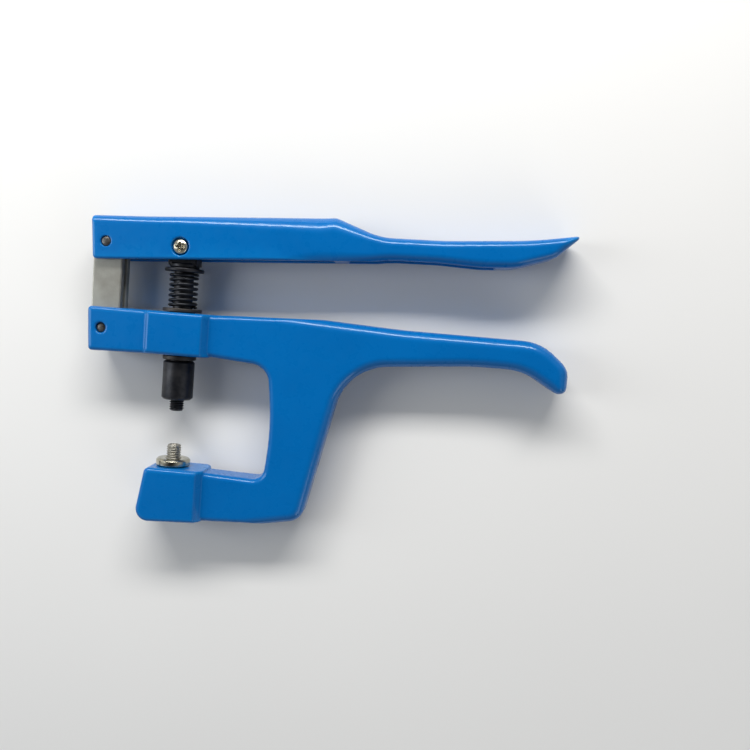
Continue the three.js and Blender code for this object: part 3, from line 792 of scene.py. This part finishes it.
def bush(name, node, flange_low, flange_high, barrel_end, flange_r):
    """A flanged bush round the plunger."""
    inner, outer = PLUNGER_HOLE_R, 5.3
    barrel_down = barrel_end < flange_low
    near, far = (flange_low, flange_high) if barrel_down else (flange_high, flange_low)
    corners = [
        [inner, barrel_end, 0.3], [outer, barrel_end, 0.4], [outer, near, 0.15],
        [flange_r, near, 0.25], [flange_r, far, 0.35], [inner, far, 0.4],
    ]
    turned(name, corners if barrel_down else corners[::-1], "frame", node, BRONZE,
           closed=True)


LOW, HIGH = layout_box("upper_guide_bush")
bush("upper_guide_bush_turned", "upper_guide_bush", HIGH[1] - 1.4, HIGH[1], LOW[1], 8.0)
SPRING_FOOT = HIGH[1]
LOW, HIGH = layout_box("lower_guide_bush")
bush("lower_guide_bush_turned", "lower_guide_bush", LOW[1], LOW[1] + 1.7, HIGH[1], 6.8)

turned("plunger_rod_turned", [
    [0, -10, 0], [3.6, -10, 0.2], [4, -9.6, 0.2], [4, 36.9, 0.3], [2.5, 36.9, 0.15],
    [2.5, 40.8, 0.3], [0, 40.8, 0],
], "plunger", "plunger_rod", OXIDE)

HEAD_OUTLINE = rounded([
    [-6, 38.0, 0], [6, 38.0, 0], [6, DRIVE_Y + 6, 5.9], [-6, DRIVE_Y + 6, 5.9],
])


def head_field(x, y, z):
    """Flat eye on a round collar, bored for the drive bush and the plunger's rod."""
    eye = rounded_edge(polygon(HEAD_OUTLINE, x, y), abs(z) - 4, 0.6)
    side = np.sqrt(x ** 2 + z ** 2) - 6
    collar = rounded_edge(side, abs(y - 37.95) - 0.75, 0.3)
    body = both(eye, collar, 0.5)
    body = without(body, bar_z(x, y, z, 0, DRIVE_Y, 3), 0.4)
    return without(body, bar_y(x, y, z, 2.65, 30, 41.1), 0.2)


refined("plunger_head_milled", head_field, 0.22, 1, 0.45, "plunger",
        "plunger_head", OXIDE)

turned("spring_cap_turned", [
    [4.25, 35.4, 0.25], [8, 35.4, 0.5], [8, 36.9, 0.5], [4.25, 36.9, 0.25],
], "plunger", "spring_cap", OXIDE, closed=True)

turned("die_holder_turned", [
    [3.1, -11.4, 0], [3.1, -17.3, 0], [3.5, -17.7, 0.12], [5.6, -17.7, 0.25],
    [6.4, -16.9, 0.25], [6.4, -2.2, 0.25], [5.6, -1.4, 0.25], [4.6, -1.4, 0.12],
    [4.15, -1.85, 0], [4.15, -10.4, 0], [3.1, -10.4, 0],
], "plunger", "die_holder", OXIDE, sides=96, closed=True)

threaded_stud("die_stud_threaded", -22.5, -11.7, False, "plunger",
              "die_stud", OXIDE)


def spring_centre(turns, height, wire):
    """Height of the wire's centre after each share of the coil, closed at both ends."""
    share = np.linspace(0, 1, int(turns * 44) + 1)
    turn = share * turns
    pitch = 2 * wire + 0.05
    open_share = np.clip(np.minimum(turn - 0.7, turns - 0.7 - turn) / 0.5, 0, 1)
    weight = open_share * open_share * (3 - 2 * open_share)
    rise = np.concatenate([[0], np.cumsum((weight[1:] + weight[:-1]) / 2)])
    flat = share * turns * pitch
    spare = height - flat[-1]
    return turn, flat + spare * rise / rise[-1]


def return_spring():
    """Round wire coiled round the plunger, with closed, ground ends."""
    wire, coil, round_wire = 0.62, 5.38, 14
    foot, top = SPRING_FOOT + 0.22, layout_box("return_spring")[1][1] + 0.05
    turn, along = spring_centre(7.2, top - foot - 2 * wire * 0.7, wire)
    along = along + foot + wire * 0.7
    rings = []
    around = -np.arange(round_wire) * 2 * math.pi / round_wire
    for t, h in zip(turn, along):
        a = 2 * math.pi * t
        outward = np.array([math.cos(a), 0, -math.sin(a)])
        r = coil + wire * np.cos(around)
        y = np.clip(h + wire * np.sin(around), foot, top)
        rings.append(np.stack([outward[0] * r, y, outward[2] * r], 1))
    rings = [rings[0].mean(0, keepdims=True)] + rings + [rings[-1].mean(0, keepdims=True)]
    points, faces = revolve(rings, round_wire)
    piece = mesh_piece("return_spring_coil", points, faces, "frame",
                       ["return_spring"], WIRE)
    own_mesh(piece)


return_spring()


# ------------------------------------------------------------------- the anvil

turned("anvil_turned", [
    [2.15, -58, 0.1], [3.7, -58, 0.1], [4, -57.7, 0.1], [4, -45.7, 0.1], [6.6, -45.7, 0.15],
    [7, -45.3, 0.15], [7, -43.4, 0.2], [6.3, -42.7, 0.2], [3.4, -42.7, 0.1],
    [3.1, -43.0, 0], [3.1, -50.6, 0], [2.15, -50.6, 0],
], "frame", "anvil", NICKEL, sides=96, closed=True)

threaded_stud("anvil_stud_threaded", -50.3, -37.0, True, "frame",
              "anvil_stud", TURNED)


def lock_screw():
    """Socket-head screw, head down, sunk in the jaw's underside."""
    sides = 60
    rings = socket_rings(-66.8, 2.0, sides)[::-1]
    for r, h in rounded([
        [2.2, -66.8, 0], [3.0, -66.8, 0.1], [3.4, -66.4, 0.2], [3.4, -63.9, 0.2],
        [2.0, -63.9, 0.1], [2.0, -53.3, 0.1], [1.7, -53.0, 0],
    ], False, 20.0):
        rings.append(ring_points(r, h, sides, "y"))
    rings.append(pole(-53.0, "y"))
    points, faces = revolve(rings, sides)
    mesh_piece("anvil_lock_screw_turned", points, faces, "frame",
               ["anvil_lock_screw"], OXIDE)


lock_screw()


# ------------------------------------------------------------- the drive screw

def screw_field(x, y, z):
    """Pan-head screw with a cross recess."""
    r = np.sqrt(x ** 2 + (y - DRIVE_Y) ** 2)
    dome = np.sqrt(r ** 2 + (z - 4.05) ** 2) - 4.7
    head = meet(meet(rounded_edge(r - 3.1, 6.75 - z, 0.2), dome, 0.4), r - 3.1, 0.1)
    shank = np.maximum(r - 2.0, np.maximum(-9.4 - z, z - 7.5))
    shank = meet(shank, r - 2.0 + (-9.0 - z), 0.1)
    depth = 8.75 - z
    slot = [np.maximum(abs(u) - 2.05 + 0.45 * depth, abs(v) - 0.52 + 0.1 * depth)
            for u, v in ((x, y - DRIVE_Y), (y - DRIVE_Y, x))]
    recess = np.maximum(np.minimum(slot[0], slot[1]), 7.2 - z)
    return without(both(head, shank, 0.1), recess, 0.1)


refined("drive_screw_pan_head", screw_field, 0.13, 1, 0.45, "handle",
        "drive_screw", NICKEL)


def nut_field(x, y, z):
    """Hexagonal nut with its corners turned off at both ends."""
    low, high, corner_r = -9.15, -6.75, 3.8
    r = np.sqrt(x ** 2 + (y - DRIVE_Y) ** 2)
    turn = np.arctan2(y - DRIVE_Y, x) % (math.pi / 3) - math.pi / 6
    flat = r * np.cos(turn) - corner_r * math.cos(math.pi / 6)
    ends = np.maximum(low - z, z - high)
    cone = np.maximum((r - 3.35) * 0.5 + (low - z) * 0.87, (r - 3.35) * 0.5 + (z - high) * 0.87)
    body = meet(meet(flat, ends, 0.1), cone, 0.1)
    return without(body, bar_z(x, y, z, 0, DRIVE_Y, PIN_HOLE_R), 0.3)


refined("drive_nut_hexagonal", nut_field, 0.13, 1, 0.45, "handle",
        "drive_nut", NICKEL)

ring_z("drive_bush_turned", "drive_bush", 0.15, "handle", BRONZE, (0, DRIVE_Y))
for NODE in ("drive_washer_front", "drive_washer_rear"):
    ring_z(NODE + "_turned", NODE, 0.12, "handle", TURNED, (0, DRIVE_Y))


# ------------------------------------------------- floor, lights and the camera

def floor():
    """Pale matt table under the tool."""
    mesh = bpy.data.meshes.new("table_top")
    half, low = 1.5, -0.0002
    mesh.from_pydata([(-half, -half, low), (half, -half, low), (half, half, low),
                      (-half, half, low)], [], [(0, 1, 2, 3)])
    s = Shader("pale_table", (0.74, 0.74, 0.73), 0.7, 0.0, Specular_IOR_Level=0.2)
    color = s.mix(s.noise(4, 3), (0.72, 0.72, 0.715), (0.77, 0.77, 0.76))
    mesh.materials.append(s.finish(color=color))
    table = bpy.data.objects.new("table_top", mesh)
    bpy.context.scene.collection.objects.link(table)


def lamp(name, place, target, size, watts, color):
    """A soft rectangular lamp that faces its target."""
    data = bpy.data.lights.new(name, "AREA")
    data.shape, data.size, data.size_y = "RECTANGLE", size[0], size[1]
    data.energy, data.color = watts, color
    obj = bpy.data.objects.new(name, data)
    obj.location = place
    direction = Vector(target) - Vector(place)
    obj.rotation_mode = "QUATERNION"
    obj.rotation_quaternion = direction.to_track_quat("-Z", "Y")
    bpy.context.scene.collection.objects.link(obj)


def studio():
    """Soft light from above the tool and from its left, in a room dark overhead and low down."""
    world = bpy.data.worlds.new("studio")
    world.use_nodes = True
    tree = world.node_tree
    background = tree.nodes["Background"]
    background.inputs["Color"].default_value = (0.93, 0.96, 1.0, 1)
    place = tree.nodes.new("ShaderNodeTexCoord")
    split = tree.nodes.new("ShaderNodeSeparateXYZ")
    dim = tree.nodes.new("ShaderNodeValToRGB")
    tree.links.new(place.outputs["Generated"], split.inputs[0])
    tree.links.new(split.outputs["Z"], dim.inputs["Fac"])
    levels = [(0.0, 0.16), (0.3, 0.46), (0.58, 0.46), (0.95, 0.02)]
    stops = dim.color_ramp.elements
    while len(stops) < len(levels):
        stops.new(0.5)
    for stop, (height, level) in zip(stops, levels):
        stop.position, stop.color = height, (level, level, level, 1)
    tree.links.new(dim.outputs["Color"], background.inputs["Strength"])
    bpy.context.scene.world = world
    middle = ((CAD_LOW.x + CAD_HIGH.x) / 2, (CAD_LOW.y + CAD_HIGH.y) / 2, 0.01)
    lamp("key", (-0.05, 0.6, 0.42), middle, (0.8, 0.14), 7.5, (1.0, 0.98, 0.95))
    lamp("fill", (-0.6, 0.05, 0.4), middle, (0.25, 0.5), 1.6, (0.95, 0.98, 1.0))
    lamp("rim", (0.5, -0.5, 0.3), middle, (0.35, 0.35), 0.8, (1.0, 1.0, 1.0))
    bpy.context.scene.view_settings.view_transform = "Standard"


def camera():
    """Nearly square on to the tool's side, a little to the right of and above its middle."""
    back = Vector((0.0554, 0.0718, 0.9959)).normalized()
    up = Vector((-0.0828, 0.9943, -0.0671))
    right = up.cross(back).normalized()
    up = back.cross(right)
    data = bpy.data.cameras.new("camera")
    data.lens, data.sensor_width = 36.0, 36.0
    data.clip_start, data.clip_end = 0.01, 10.0
    obj = bpy.data.objects.new("camera", data)
    turn = Matrix((right, up, back)).transposed().to_4x4()
    aim = Vector(ORIGIN + np.array([83.0, 0.0, 10.0]) / 1000)
    obj.matrix_world = Matrix.Translation(aim + back * 0.3) @ turn
    bpy.context.scene.collection.objects.link(obj)
    bpy.context.scene.camera = obj


floor()
studio()
camera()
